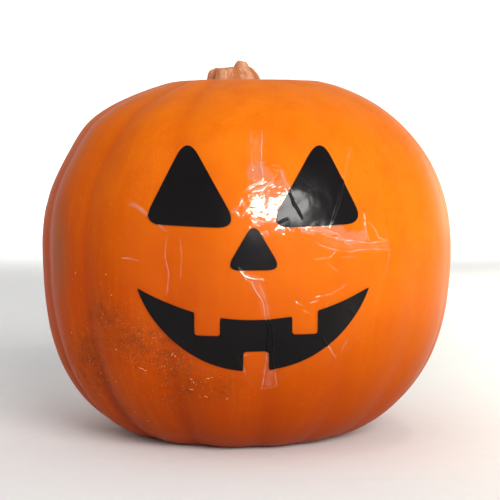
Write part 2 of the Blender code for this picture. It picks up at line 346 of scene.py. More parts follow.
class Shape(Tree):
    """A geometry tree with named inputs for its sizes."""

    def __init__(self, name, sizes, objects=()):
        super().__init__(bpy.data.node_groups.new(name, "GeometryNodeTree"))
        panel = self.made.interface
        panel.new_socket("Geometry", in_out="INPUT", socket_type="NodeSocketGeometry")
        self.sizes = {}
        for key, value in sizes.items():
            kind = "NodeSocketInt" if isinstance(value, int) else "NodeSocketFloat"
            self.sizes[key] = panel.new_socket(key, in_out="INPUT", socket_type=kind).identifier
        for key in objects:
            made = panel.new_socket(key, in_out="INPUT", socket_type="NodeSocketObject")
            self.sizes[key] = made.identifier
        panel.new_socket("Geometry", in_out="OUTPUT", socket_type="NodeSocketGeometry")
        self.group_in = self.made.nodes.new("NodeGroupInput")

    def __getitem__(self, name):
        return Value(self, self.group_in.outputs[name])

    def close(self, geometry, material):
        whole = self.node("GeometryNodeRealizeInstances", {}, {"Geometry": geometry})
        dressed = self.node(
            "GeometryNodeSetMaterial", {}, {"Geometry": whole, "Material": material}
        )
        self.node("NodeGroupOutput", {}, {"Geometry": dressed}, None)

    def store(self, geometry, name, value, kind="FLOAT"):
        settings = {"data_type": kind, "domain": "POINT"}
        sockets = {"Geometry": geometry, "Name": name, "Value": value}
        return self.node("GeometryNodeStoreNamedAttribute", settings, sockets)

    def grow(self, name, values, seed_mesh=None):
        """Runs the tree on a mesh and returns the result as an object with a plain mesh."""
        source = bpy.data.objects.new("seed", seed_mesh or bpy.data.meshes.new("seed"))
        bpy.context.scene.collection.objects.link(source)
        modifier = source.modifiers.new("shape", "NODES")
        modifier.node_group = self.made
        for key, value in values.items():
            modifier[self.sizes[key]] = value
        graph = bpy.context.evaluated_depsgraph_get()
        mesh = bpy.data.meshes.new_from_object(source.evaluated_get(graph), depsgraph=graph)
        source.modifiers.remove(modifier)
        bpy.data.objects.remove(source)
        mesh.name = name
        grown = bpy.data.objects.new(name, mesh)
        bpy.context.scene.collection.objects.link(grown)
        return grown


# Colours and finishes, with colours as linear red, green and blue

# Painted shade and painted light: deeper orange to the lower left, paler orange to the upper right
PAINTED_SHADE_ORANGE, PAINTED_LIGHT_ORANGE = (0.42, 0.053, 0.0004), (0.71, 0.158, 0.003)
STREAK_ORANGE, BLOTCH_RED = (0.74, 0.175, 0.006), (0.46, 0.050, 0.0008)
# Painted shade in the grooves, darker in the ones low on the front
PAINTED_GROOVE_SHADE, BELLY_PAINTED_GROOVE_SHADE = (0.42, 0.043, 0.001), (0.27, 0.028, 0.001)
GRAIN_RED, FRECKLE_YELLOW = (0.46, 0.046, 0.001), (0.80, 0.27, 0.03)
NECK_BROWN, BLOSSOM_BROWN = (0.33, 0.16, 0.045), (0.30, 0.17, 0.08)
SOIL_BROWN, LEFT_SIDE_BAND_BROWN = (0.24, 0.070, 0.018), (0.25, 0.11, 0.05)
RUBBED_RED, SMUDGE_BROWN = (0.32, 0.046, 0.003), (0.15, 0.036, 0.008)
# Pale flecks, and the painted shade towards the bottom
FLECK_TAN, PAINTED_FOOT_SHADE = (0.78, 0.40, 0.20), (0.255, 0.030, 0.001)
# The smudges on the lower left and a grey-brown band down the left side: sideways place, level, half
# width and height
SMUDGES = (
    (-0.062, 0.074, 0.026, 0.015),
    (-0.088, 0.090, 0.012, 0.010),
    (-0.046, 0.058, 0.012, 0.020),
    (-0.030, 0.048, 0.022, 0.009),
    (-0.100, 0.060, 0.010, 0.022),
)
LEFT_SIDE_BAND = (-0.1205, 0.126, 0.0065, 0.030)

CORK_BROWN, CORK_TAN = (0.46, 0.165, 0.075), (0.70, 0.34, 0.18)
# Fibres; groove brown, partly painted shade; crest tan, partly painted highlight; crumbs
FIBRE_BROWN, CORK_GROOVE_BROWN_AND_SHADE = (0.30, 0.090, 0.030), (0.42, 0.118, 0.028)
CORK_CREST_TAN_AND_HIGHLIGHT, CRUMB_TAN = (0.80, 0.42, 0.23), (0.86, 0.55, 0.38)
FILM_TINT = (0.98, 0.90, 0.80)
INK_BLACK, RUBBED_BLACK = (0.0030, 0.0022, 0.0026), (0.0075, 0.0066, 0.0075)
SCAB_BROWN, SCAB_TAN = (0.52, 0.16, 0.05), (0.72, 0.33, 0.16)
PAPER_GREY, PAPER_WHITE = (0.83, 0.83, 0.83), (0.87, 0.87, 0.865)


def rind_finish():
    """Waxy orange skin: paler crests, painted shade in the grooves and towards the lower left and the
    bottom, freckles, and a soiled lower left side.
    """
    f = Finish("rind")
    place = f.place()
    x, y, z = f.parts(place)
    rib = f.stored("rib")
    around = f.stored("around", "Vector")
    climb = f.parts(around)[2]

    # Broad patches, and streaks that run from the stem to the blossom end
    patches = f.clouds(place, 22, 3, 0.55, 0.4)
    blotches = f.clouds(place * (1, 1, 0.7), 60, 3, 0.55)
    streaks = f.clouds(around * (24, 24, 2.4), 1, 5, 0.62)
    grain = f.clouds(place, 420, 3, 0.6)
    # Painted shade: deeper, redder orange towards the lower left, away from the light at the upper
    # right
    painted_light_side = (x * 0.75 + z).step(0.0, 0.25)
    colour = f.mix(painted_light_side + (patches - 0.5) * 0.45, PAINTED_SHADE_ORANGE, PAINTED_LIGHT_ORANGE)
    colour = f.mix(streaks.step(0.42, 0.74) * 0.15, colour, STREAK_ORANGE)
    colour = f.mix((1 - blotches.step(0.26, 0.60)) * 0.22, colour, BLOTCH_RED)
    # Painted shade in the grooves, stronger in the grooves low on the front
    colour = f.mix((1 - rib) ** 3 * 0.42, colour, PAINTED_GROOVE_SHADE)
    belly = (1 - z.step(0.030, 0.105)) * (1 - y.step(-0.06, 0.0))
    colour = f.mix((1 - rib) ** 3 * belly * 1.5, colour, BELLY_PAINTED_GROOVE_SHADE)
    colour = f.mix(grain.step(0.35, 0.8) * 0.14, colour, GRAIN_RED)

    # Freckles
    freckle = f.cells(place + (patches - 0.5) * 0.004, 190)
    colour = f.mix((1 - freckle.step(0.06, 0.16)) * 0.20, colour, FRECKLE_YELLOW)

    # Grey-brown tone in the hollow round the stem
    neck = climb.step(0.955, 0.998)
    colour = f.mix(neck * (0.45 + streaks * 0.4), colour, NECK_BROWN)

    # Soil and old rubs, most of all low down to the left of the face
    rubbed = f.clouds(place, 60, 5, 0.65, 0.6)
    crumbly = f.clouds(place, 260, 5, 0.7, 0.4)
    front = 1 - y.step(-0.07, 0.03)
    low = 1 - z.step(0.015, 0.10)
    left = (1 - x.step(-0.10, 0.03)) * front
    soil = (low * (0.20 + left * 0.55) * rubbed.step(0.46, 0.66)).at_most(1)

    def spot(across, level, half_width, half_height):
        """1 at a place on the front, down to 0 round it."""
        away = ((x - across) / half_width) ** 2 + ((z - level) / half_height) ** 2
        return (away * -1).exp() * front

    smudges = spot(*SMUDGES[0])
    for patch in SMUDGES[1:]:
        smudges = smudges.at_least(spot(*patch))
    grime = f.clouds(place * (0.7, 1, 1.2), 190, 6, 0.72)
    smudge = (smudges * 1.2).at_most(1) * (rubbed * 0.5 + grime * 1.1 - 0.3).step(0.36, 0.74)
    # A grey-brown band down the left side
    left_side_band = spot(*LEFT_SIDE_BAND) * (rubbed * 0.8 + 0.5)
    colour = f.mix(soil * 0.5, colour, SOIL_BROWN)
    colour = f.mix(smudges * 0.38, colour, RUBBED_RED)
    colour = f.mix(smudge * 0.72, colour, SMUDGE_BROWN)
    colour = f.mix(left_side_band * 0.50, colour, LEFT_SIDE_BAND_BROWN)
    flecks = (1 - f.cells(place, 560).step(0.08, 0.22)) * crumbly.step(0.46, 0.54)
    colour = f.mix(flecks * (smudges + left * low * 0.4).at_most(1) * 0.85, colour, FLECK_TAN)
    # Painted shade towards the bottom, reaching higher on the left
    foot_shade = 1 - (z - x * 0.25).step(-0.02, 0.115)
    colour = f.mix(foot_shade * 0.65, colour, PAINTED_FOOT_SHADE)

    # The scar where the flower was
    blossom = 1 - climb.step(-1.0, -0.9985)
    colour = f.mix(blossom * 0.8, colour, BLOSSOM_BROWN)

    dull = (soil + smudge).at_most(1)
    shine = 0.36 + (patches - 0.5) * 0.10 + dull * 0.25 + neck * 0.25 + grain * 0.05
    height = (grain - 0.5) * 0.00005 + (rubbed - 0.5) * (0.00006 + dull * 0.0003)
    height = height + (blotches - 0.5) * 0.00012 + crumbly * dull * 0.00025
    height = height + (1 - freckle.step(0.02, 0.14)) * 0.00003
    skin = f.principled(
        Base_Color=colour,
        Roughness=shine,
        Specular_IOR_Level=0.035,
        Normal=f.bump(height),
    )
    return f.close(skin)


def cork_finish():
    """Dry stem: pinkish tan cork with darker fibres, brown in its grooves that is partly painted
    shade, and paler crests that are partly painted highlight.
    """
    f = Finish("stem_cork")
    place = f.place()
    ridge = f.stored("ridge")
    fibres = f.clouds(f.stored("grain", "Vector"), 1, 4, 0.65)
    mottle = f.clouds(place, 240, 4, 0.6)
    crumbs = f.clouds(place, 1400, 3, 0.6)
    colour = f.mix(mottle.step(0.3, 0.7), CORK_BROWN, CORK_TAN)
    colour = f.mix(fibres.step(0.44, 0.62) * 0.55, colour, FIBRE_BROWN)
    # Brown in the grooves, partly painted shade; paler crests, partly painted highlight
    colour = f.mix((1 - ridge.step(0.05, 0.60)) * 0.85, colour, CORK_GROOVE_BROWN_AND_SHADE)
    colour = f.mix(ridge.step(0.75, 1.0) * 0.30, colour, CORK_CREST_TAN_AND_HIGHLIGHT)
    colour = f.mix(crumbs.step(0.55, 0.8) * 0.35, colour, CRUMB_TAN)
    height = (fibres - 0.5) * 0.0006 + (crumbs - 0.5) * 0.0002 + (mottle - 0.5) * 0.0003
    cork = f.principled(
        Base_Color=colour,
        Roughness=0.78 + (mottle - 0.5) * 0.2,
        Specular_IOR_Level=0.25,
        Normal=f.bump(height),
    )
    return f.close(cork)


def film_finish():
    """Clear glossy plastic, paler where it is folded, partly from the doubled film and partly as
    painted glint, and a little hazy where it stands off.
    """
    f = Finish("clear_film")
    place = f.place()
    fold = f.stored("fold")
    loose = f.stored("loose")
    ripple = f.clouds(place, 130, 3, 0.5, 0.3)
    scuff = f.clouds(place, 900, 3, 0.7)
    islands = f.clouds(place, 130, 4, 0.62, 0.9)
    lifted = (loose * 1.15 + (islands - 0.5) * (1.7 + loose * 1.8)).step(0.42, 0.62)
    # Paler along the folds, partly from the doubled film and partly as painted glint
    share = 0.002 + fold * 0.15 + fold**3 * 0.40 + lifted * 0.085 + (scuff - 0.5) * 0.002
    plastic = f.principled(
        Base_Color=FILM_TINT,
        Metallic=0.85 - fold * 0.45,
        Roughness=0.06 + scuff * 0.08,
        Normal=f.bump((ripple - 0.5) * (0.0003 + loose * 0.0010)),
    )
    clear = f.node("ShaderNodeBsdfTransparent")
    return f.close(f.node("ShaderNodeMixShader", {}, {0: share, 1: clear, 2: plastic}))


def print_finish():
    """Black printing ink under clear plastic, with soft gloss and fine rubs."""
    f = Finish("black_print")
    place = f.place()
    ripple = f.clouds(place, 75, 2, 0.5, 0.3)
    rubs = f.clouds(place * (1, 1, 0.35), 700, 4, 0.7)
    colour = f.mix(rubs.step(0.5, 0.85) * 0.5, INK_BLACK, RUBBED_BLACK)
    # Glare where the film over the print stands off
    smears = f.clouds(place * (1, 1, 0.7), 120, 4, 0.6, 0.8)
    glare = (f.stored("loose") + (smears - 0.5) * 1.6).step(0.36, 0.80)
    ink = f.principled(
        Base_Color=colour,
        Roughness=0.24 + rubs * 0.12,
        Specular_IOR_Level=0.13,
        Coat_Weight=glare * 0.45,
        Coat_Roughness=0.14,
        Normal=f.bump((ripple - 0.5) * 0.0004),
    )
    return f.close(ink)


def scab_finish():
    """Dry pale skin of healed nicks."""
    f = Finish("healed_nick")
    place = f.place()
    crust = f.clouds(place, 1800, 3, 0.6)
    colour = f.mix(crust.step(0.3, 0.7), SCAB_BROWN, SCAB_TAN)
    scab = f.principled(
        Base_Color=colour,
        Roughness=0.55 + crust * 0.2,
        Normal=f.bump((crust - 0.5) * 0.0001),
    )
    return f.close(scab)


def backdrop_finish():
    """Matt pale paper."""
    f = Finish("pale_backdrop")
    speck = f.clouds(f.place(), 60, 2, 0.5)
    colour = f.mix(speck, PAPER_GREY, PAPER_WHITE)
    return f.close(f.principled(Base_Color=colour, Roughness=0.9, Specular_IOR_Level=0.1))


# Making the fruit


def waves(azimuth, terms):
    """Waves round the fruit: how many, how large, and where they start."""
    if isinstance(azimuth, Value):
        parts = [(azimuth * count + phase).sin() * size for count, size, phase in terms]
        total = parts[0]
        for part in parts[1:]:
            total = total + part
        return total
    return sum(size * math.sin(count * azimuth + phase) for count, size, phase in terms)


def fruit_tree(material):
    """The ribbed fruit: a rounder crown on a squarer belly, with a hollow at each end."""
    t = Shape("ribbed fruit", FRUIT)
    ball = t.node(
        "GeometryNodeMeshUVSphere",
        {},
        {"Segments": t["Segments"], "Rings": t["Rings"], "Radius": 1.0},
        "Mesh",
    )
    x, y, z = t.parts(t.node("GeometryNodeInputPosition"))
    azimuth = t.maths("ARCTAN2", x, y * -1)
    flat = (x * x + y * y).root()
    rising = z.above(0)
    half = t["Width"] / 2

    # The plain outline: a power curve above the widest level and another below it, each with
    # one squareness across and another upwards
    def above_or_below(crown_name, belly_name):
        return t[belly_name] + (t[crown_name] - t[belly_name]) * rising

    across = above_or_below("Crown Squareness Across", "Belly Squareness Across")
    upwards = above_or_below("Crown Squareness Upwards", "Belly Squareness Upwards")
    reach = above_or_below("Crown Rise", "Belly Drop")
    power = (across + upwards) / 2
    size = ((flat / half) ** power + (abs(z) / reach) ** power) ** (-1 / power)
    share = (size * flat / half) ** (power / across)
    rise_share = (size * abs(z) / reach).at_most(1)
    radius = share * half
    climb = rise_share ** (power / 2)
    crown = climb * rising
    under = climb * (1 - rising)
    height = t["Widest Level"] + reach * rise_share ** (power / upwards) * (rising * 2 - 1)
    pit = (((radius / t["Stem Hollow Radius"]) ** 4) * -1).exp() * t["Stem Hollow Depth"]
    navel = (((radius / t["Blossom Hollow Radius"]) ** 2) * -1).exp() * t["Blossom Hollow Depth"]
    height = height - pit * rising + navel * (1 - rising)

    # Ribs between uneven grooves
    uneven = waves(azimuth, RIB_UNEVENNESS) - waves(FRUIT["First Groove"], RIB_UNEVENNESS)
    turn = azimuth - t["First Groove"] + uneven - waves(azimuth, GROOVE_WANDER) * crown**2
    soft = t["Groove Softness"]
    rounded = ((turn * t["Rib Count"] / 2).sin() ** 2 + soft**2).root()
    lobe = (rounded - soft) / ((soft**2 + 1).root() - soft)
    eased = 1 - t["Rib Ease"] * (((azimuth - t["Rib Ease Azimuth"]).cos() + 1) / 2) ** 2
    gain = crown**4 * t["Crown Rib Gain"] + under * t["Belly Rib Gain"] + 1
    depth = t["Rib Depth"] * share ** t["Rib Fade"] * gain * eased
    radius = radius * (waves(azimuth, PLAN_SWELL) + 1) + depth * (lobe - 1)

    # The shoulder that bulges
    beside = (((azimuth - t["Shoulder Azimuth"]).cos() - 1) * t["Shoulder Narrowness"]).exp()
    beyond = (((height - t["Shoulder Level"]) / t["Shoulder Reach"]) ** 2 * -1).exp()
    faded = (share * t["Shoulder Fade"]).at_most(1)
    radius = radius + beside * beyond * faded * t["Shoulder Bulge"]

    # The belly and the stem sit a little off the middle
    towards_stem = ((1 - share) / (1 - t["Seat Radius"] / half)).at_most(1)
    shift = t["Belly Shift"] * under**2 + t["Crown Lean"] * crown**3
    shift = shift + t["Stem Shift"] * towards_stem ** t["Stem Shift Reach"] * rising
    settled = (height + (height**2 + t["Foot Softness"] ** 2).root()) / 2 - t["Foot Flattening"]
    place = t.vector(
        shift + radius * azimuth.sin(),
        radius * azimuth.cos() * t["Depth"] / t["Width"] * -1,
        settled.at_least(0),
    )

    fruit = t.store(ball, "rib", 1 - (1 - lobe) * eased)
    signed_climb = crown - under
    meridian = t.vector(azimuth.sin(), azimuth.cos(), signed_climb)
    fruit = t.store(fruit, "around", meridian, "FLOAT_VECTOR")
    fruit = t.node("GeometryNodeSetPosition", {}, {"Geometry": fruit, "Position": place})

    # Low relief: broad swells, dimples, pores, and wrinkles that run out from the stem
    here = t.node("GeometryNodeInputPosition")
    seeded = here + t.vector(t["Seed"], t["Seed"], 0)
    swell = (t.clouds(seeded, SWELL_SCALE, 1) - 0.5) * t["Swell"]
    dimple = (t.clouds(seeded, DIMPLE_SCALE, 2) - 0.5) * t["Dimple"]
    pore = (t.clouds(seeded, PORE_SCALE, 2) - 0.5) * t["Pore"]
    kept = t.node(
        "GeometryNodeInputNamedAttribute", {"data_type": "FLOAT_VECTOR"}, {"Name": "around"}
    )
    wrinkle = t.clouds(kept * WRINKLE_SCALE, 1, 3) - 0.5
    neck = t.parts(kept)[2].step(NECK_START, NECK_END)
    wrinkle = wrinkle * neck * t["Neck Wrinkle"]
    clear_of_ground = t.parts(here)[2].step(0.0, SMOOTH_FOOT)
    relief = (swell + dimple + pore + wrinkle) * clear_of_ground
    outward = t.node("GeometryNodeInputNormal") * relief
    fruit = t.node("GeometryNodeSetPosition", {}, {"Geometry": fruit, "Offset": outward})
    fruit = t.node("GeometryNodeSetShadeSmooth", {}, {"Geometry": fruit, "Shade Smooth": True})
    t.close(fruit, material)
    return t


def move_onto(piece, node):
    """Moves a piece's mesh sideways and back, so that its middle is over the middle of its solid."""
    places = np.array([vertex.co for vertex in piece.data.vertices])
    low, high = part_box(node)
    here = (places.min(axis=0) + places.max(axis=0)) / 2
    shift = ((low.x + high.x) / 2 - here[0], (low.y + high.y) / 2 - here[1], 0)
    piece.data.vertices.foreach_set("co", np.ravel(places + shift))
    piece.data.update()


def skin_of(piece):
    """The piece's surface, ready for rays to be cast on it."""
    bpy.context.view_layer.update()
    return BVHTree.FromObject(piece, bpy.context.evaluated_depsgraph_get())


# Making the stem


def object_from(name, shape, material, values=()):
    """Turns a bmesh into a smooth piece that keeps some values at each point."""
    bmesh.ops.recalc_face_normals(shape, faces=shape.faces)
    mesh = bpy.data.meshes.new(name)
    shape.to_mesh(mesh)
    shape.free()
    mesh.shade_smooth()
    mesh.set_sharp_from_angle(angle=SHARP_EDGE)
    mesh.materials.append(material)
    for key, kind, rows in values:
        field = "value" if kind == "FLOAT" else "vector"
        mesh.attributes.new(key, kind, "POINT").data.foreach_set(field, np.ravel(rows))
    made = bpy.data.objects.new(name, mesh)
    bpy.context.scene.collection.objects.link(made)
    return made


def bridge_rings(shape, rings):
    """Joins each ring of vertices to the next with quads."""
    count = len(rings[0])
    for lower, upper in zip(rings, rings[1:]):
        for i in range(count):
            j = (i + 1) % count
            shape.faces.new((lower[i], lower[j], upper[j], upper[i]))


def close_with_fan(shape, ring, tip):
    for i in range(len(ring)):
        shape.faces.new((ring[i], ring[(i + 1) % len(ring)], tip))


def ridge_at(angle):
    """0 in a groove of the stem and 1 on a ridge."""
    return abs(math.cos(STEM_RIDGES * angle / 2 + STEM_RIDGE_TURN)) ** STEM_RIDGE_SHARPNESS


def stem_radius(angle, share):
    """Radius at an angle and at a share of the height."""
    plain = STEM_TOP_RADIUS + (STEM_FOOT_RADIUS - STEM_TOP_RADIUS) * (1 - share**STEM_TAPER)
    ridge = STEM_RIDGE_DEPTH * (ridge_at(angle) - 1) * (1 + share) / 2
    flare = STEM_FLARE * math.exp(-share / STEM_FLARE_REACH) * (1 + ridge_at(angle)) / 2
    x, y = math.cos(angle), math.sin(angle)
    relief = sum(
        height * noise.noise(Vector((across * x, across * y, along * share)))
        for height, across, along in STEM_RELIEF
    )
    return plain + ridge + flare + relief


def stem_top(x, y):
    """Height of the broken top over the stem's base: one knob stands up, and one side slopes off."""
    away = math.hypot(x - KNOB_PLACE[0], y - KNOB_PLACE[1])
    knob = KNOB_RISE * math.exp(-((away / KNOB_RADIUS) ** 6))
    wave = 2 * math.pi / BREAK_LENGTH
    slope = SLOPE_STEEPNESS * max(0.0, x - SLOPE_START)
    rough = BREAK_RISE * (math.sin(wave * x + 0.6) + math.cos(1.2 * wave * y))
    notch = NOTCH_DEPTH * math.exp(-(((x - NOTCH_X) / NOTCH_WIDTH) ** 2))
    torn = sum(
        height * noise.noise(Vector((x, y, layer)) * scale) for height, scale, layer in BREAK_RELIEF
    )
    return STEM_HEIGHT + knob - slope + rough - notch + torn


def make_stem(material):
    low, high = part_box("stem")
    base, middle, depth = low.z, (low.x + high.x) / 2, (low.y + high.y) / 2
    angles = [2 * math.pi * i / STEM_SEGMENTS for i in range(STEM_SEGMENTS)]
    shape = bmesh.new()
    rings, ridges, grains = [], [], []

    def add_ring(places, share, inset):
        ring = []
        for angle, (x, y, z) in zip(angles, places):
            ring.append(shape.verts.new((middle + x, depth + y, z)))
            ridges.append(ridge_at(angle) * inset + (1 - inset))
            across = (GRAIN_ROUND * math.cos(angle), GRAIN_ROUND * math.sin(angle))
            grains.append((*across, GRAIN_ALONG * share + GRAIN_INWARD * (1 - inset)))
        rings.append(ring)

    for level in range(STEM_LEVELS + 1):
        share = level / STEM_LEVELS
        places = []
        for angle in angles:
            radius = stem_radius(angle, share)
            x, y = radius * math.cos(angle), radius * math.sin(angle)
            rounding = STEM_EDGE_ROUNDING * share**EDGE_SHARPNESS_BELOW
            sunk = STEM_SINK * (1 - share) ** STEM_SINK_SHARPNESS
            places.append((x, y, base - sunk + share * (stem_top(x, y) - rounding)))
        add_ring(places, share, 1)
    for ring in range(1, STEM_TOP_RINGS):
        inset = 1 - ring / STEM_TOP_RINGS
        places = []
        for angle in angles:
            radius = stem_radius(angle, 1) * inset
            x, y = radius * math.cos(angle), radius * math.sin(angle)
            rounding = STEM_EDGE_ROUNDING * inset**EDGE_SHARPNESS_ABOVE
            dish = STEM_DISH * (1 - inset**STEM_DISH_SHARPNESS)
            places.append((x, y, base + stem_top(x, y) - rounding - dish))
        add_ring(places, 1, inset)
    bridge_rings(shape, rings)
    tip = shape.verts.new((middle, depth, base + stem_top(0, 0) - STEM_DISH))
    close_with_fan(shape, rings[-1], tip)
    under = shape.verts.new((middle, depth, base - STEM_SINK))
    close_with_fan(shape, rings[0], under)
    ridges += [1, 1]
    grains += [(0, 0, 9), (0, 0, 0)]
    values = (("ridge", "FLOAT", ridges), ("grain", "FLOAT_VECTOR", grains))
    return object_from("dry_stem", shape, material, values)


# Making the film and the face

# Each fold of the film: its line as seen from the front, in millimetres, then its height and
# its half width, and how pale it looks, partly as painted glint
FOLDS = (
    # The pleat between the eyes
    (((2, 204), (2.2, 200), (2.2, 190), (3, 181)), 0.9, 0.45, 0.7),
    (((5.4, 203), (5.0, 194), (5.4, 180)), 0.3, 0.35, 0.35),
    (((9, 204), (8.4, 200), (8.2, 183), (9.5, 176)), 1.1, 0.5, 0.9),
    (((5.6, 202), (4.6, 195), (5.6, 180)), 0.2, 3.6, 0.26),
    # The pleat under the chin
    (((-5, 121), (2.8, 113), (8.8, 103), (12.4, 85), (11.3, 66), (8.9, 46)), 1.1, 0.45, 0.8),
    (((6.4, 115), (11.2, 101), (14.9, 85), (15.5, 66), (18.1, 49)), 0.8, 0.4, 0.6),
    (((2.4, 117), (8, 108), (12, 95), (13.6, 80), (13.4, 64), (13.6, 46)), 0.2, 2.4, 0.22),
    (((8.9, 46.4), (18.4, 48.6)), 0.3, 0.45, 0.7),
    # The tube and the folds beside the right cheek
    (((42, 137), (50, 133.2), (62, 131.4), (75, 132.2), (90, 131.1)), 1.2, 0.6, 0.8),
    (((45, 141.8), (59, 138.3), (75, 135.8), (88, 137.3)), 0.8, 0.45, 0.8),
    (((44, 139), (58, 135), (70, 133.6), (90, 134)), 0.3, 2.2, 0.22),
    (((71.6, 154.3), (72.8, 140.8), (75.4, 135.8)), 0.7, 0.4, 0.8),
    (((75.4, 148.7), (80.6, 138.7), (86, 137.3)), 0.6, 0.4, 0.7),
    (((40.8, 127.4), (50, 128.3), (53.1, 131.3)), 0.6, 0.4, 0.7),
    (((57.5, 128), (65.8, 128.2)), 0.6, 0.35, 0.6),
    (((48, 125.4), (56.3, 118.3)), 0.5, 0.5, 0.35),
    # The left cheek
    (((-73, 160.4), (-64.2, 155.9), (-56, 150), (-48.6, 144.1)), 0.7, 0.9, 0.5),
    (((-71, 161), (-60.5, 154.4)), 0.5, 0.4, 0.7),
    (((-48.6, 140), (-49.8, 129.6), (-47.4, 117.5), (-48.7, 105.9)), 0.5, 0.4, 0.55),
    (((-40, 140), (-39.4, 126.8), (-40, 114)), 0.4, 0.35, 0.4),
    (((-78, 127.2), (-70.4, 126.6), (-65.4, 125.5)), 0.5, 0.5, 0.6),
    # Round the mouth
    (((-7.5, 71.3), (-4.5, 64.9), (-0.8, 57.2)), 0.6, 0.45, 0.6),
    (((-6, 62), (-2.6, 68.6), (2, 70)), 0.5, 0.4, 0.5),
    (((42.3, 82), (49.2, 74.2), (54.4, 65.4)), 0.6, 0.45, 0.7),
    (((61.2, 76.4), (57.5, 70.3)), 0.5, 0.35, 0.5),
    (((-5.4, 122.1), (-1.6, 118.2), (3.8, 115.9), (9.4, 115.4)), 1.0, 0.8, 1.0),
    (((40, 104), (52, 106.5), (60, 111)), 0.5, 0.4, 0.45),
    # Short folds with painted glints, over the right half of the mouth and beside its corner
    (((29.5, 101.8), (33.5, 99.6)), 0.5, 0.5, 0.9),
    (((33.6, 96.8), (36.6, 95.0)), 0.4, 0.45, 0.8),
    (((37.0, 100.6), (43.5, 102.2)), 0.4, 0.35, 0.6),
    (((47.5, 98.2), (49.6, 101.4)), 0.4, 0.4, 0.6),
    (((62.0, 95.4), (65.6, 93.0)), 0.5, 0.9, 0.7),
    # Over the right eye, and round the glare between the eyes
    (((65.2, 196), (61.7, 188), (57.2, 168.5), (53.2, 153.6), (50, 147)), 0.7, 0.7, 0.3),
    (((16.5, 181), (19.5, 180.5), (23.5, 172), (28, 160), (33, 152)), 0.9, 0.5, 0.9),
    (((14.9, 183.9), (19.2, 183.3), (22.8, 176), (26.3, 169.5)), 0.6, 0.4, 0.6),
    (((-2, 167.2), (2, 171), (7.5, 173.4), (9, 177)), 0.8, 0.5, 0.9),
    (((3, 168), (9, 170.5), (14.5, 172.6), (18, 178.5)), 0.8, 0.45, 0.9),
    (((11.8, 172), (12.6, 165.3), (11, 158.5)), 0.7, 0.5, 0.9),
    (((1.5, 152.5), (9, 149.8), (19, 149), (24, 151.5)), 0.7, 0.5, 0.9),
    (((40.5, 148), (47, 144.5), (54, 142.6), (60, 137)), 0.6, 0.5, 0.6),
    # The cut edge on the right
    (((78, 189), (85, 152), (88.7, 129), (82, 100.4), (68, 73.8)), 0.1, 0.4, 0.42),
)
# Where the film isn't pressed down: sideways place, height, half width, half height, in millimetres
LOOSE_PATCHES = ((20, 160, 24, 16), (46, 146, 14, 5), (64, 140, 10, 5), (8, 177, 8, 8))
# Small bubbles under the film: sideways place, height, radius and rise in millimetres
BUBBLES = (
    (29.3, 100.5, 2.2, 0.9),
    (30.0, 93.5, 1.6, 0.7),
    (26.0, 97.0, 1.3, 0.5),
    (-44.9, 132.1, 1.2, 0.5),
    (-64.2, 156.2, 1.5, 0.7),
    (58.0, 134.5, 1.4, 0.6),
    (52.5, 124.0, 1.3, 0.5),
    (66.0, 127.0, 1.2, 0.5),
)
# How far a fold strays from its line and over what length, how strong it is at its very ends and
# over what length it gains the rest, all in millimetres
FOLD_STRAY, FOLD_STRAY_LENGTH = 0.7, 6
FOLD_END_SHARE, FOLD_END_LENGTH = 0.35, 7
# Ripples in millimetres: height, spacing and place in the noise
FINE_RIPPLES = ((0.30, 7.5, 0.3), (0.10, 3.2, 2.3))
BROAD_RIPPLE = (0.09, 14, 5.1)
# How strong the fine ripples are where the film is pressed down, and how much more where it is
# loose, then how far it stands off in both, in millimetres
PRESSED_RIPPLE, LOOSE_RIPPLE = 0.12, 0.9
PRESSED_LIFT, LOOSE_LIFT = 0.12, 0.25
# How pale the folds look in patches: the middle, how far it swings, over what length, the limits
FOLD_PALENESS, PALENESS_SWING, PALENESS_LENGTH = 0.75, 0.6, 5
PALENESS_LIMITS = (0.2, 1.2)


def softened(outline, radius):
    """Rounds each sharp corner of a closed outline with an arc-like fillet."""
    points = [Vector(point) for point in outline]
    made = []
    for i, corner in enumerate(points):
        before, after = points[i - 1], points[(i + 1) % len(points)]
        turn = (corner - before).angle(after - corner, 0.0)
        if turn < SHARP_TURN:
            made.append(corner)
            continue
        reach = radius * math.tan(turn / 2)
        back = min(reach, LONGEST_FILLET * (before - corner).length)
        forth = min(reach, LONGEST_FILLET * (after - corner).length)
        first = corner + (before - corner).normalized() * back
        last = corner + (after - corner).normalized() * forth
        for k in range(FILLET_POINTS + 1):
            t = k / FILLET_POINTS
            made.append(first * (1 - t) ** 2 + corner * (2 * t * (1 - t)) + last * t**2)
    return made


def curve_between(height_at, start, end):
    """Points of a curve from one sideways place to another, without its last point."""
    count = max(1, round(abs(end - start) / CURVE_STEP))
    places = [start + (end - start) * k / count for k in range(count)]
    return [(x, height_at(x)) for x in places]


def lip_height(middle):
    """Height of a lip that runs as an arc through both corners of the mouth and its middle."""
    sag = MOUTH_CORNER_Z - middle
    radius = (MOUTH_HALF_WIDTH**2 + sag**2) / (2 * sag)
    return lambda x: middle + radius - math.sqrt(radius**2 - x**2)


def toothed_lip(height_at, teeth, tooth_height):
    """A lip from left to right with a square tooth at each place given."""
    made = []
    start = -MOUTH_HALF_WIDTH
    for middle in teeth:
        left, right = middle - TOOTH_WIDTH / 2, middle + TOOTH_WIDTH / 2
        made += curve_between(height_at, start, left)
        tip = height_at(middle) + tooth_height
        made += [(left, height_at(left)), (left, tip), (right, tip)]
        start = right
    return made + curve_between(height_at, start, MOUTH_HALF_WIDTH)


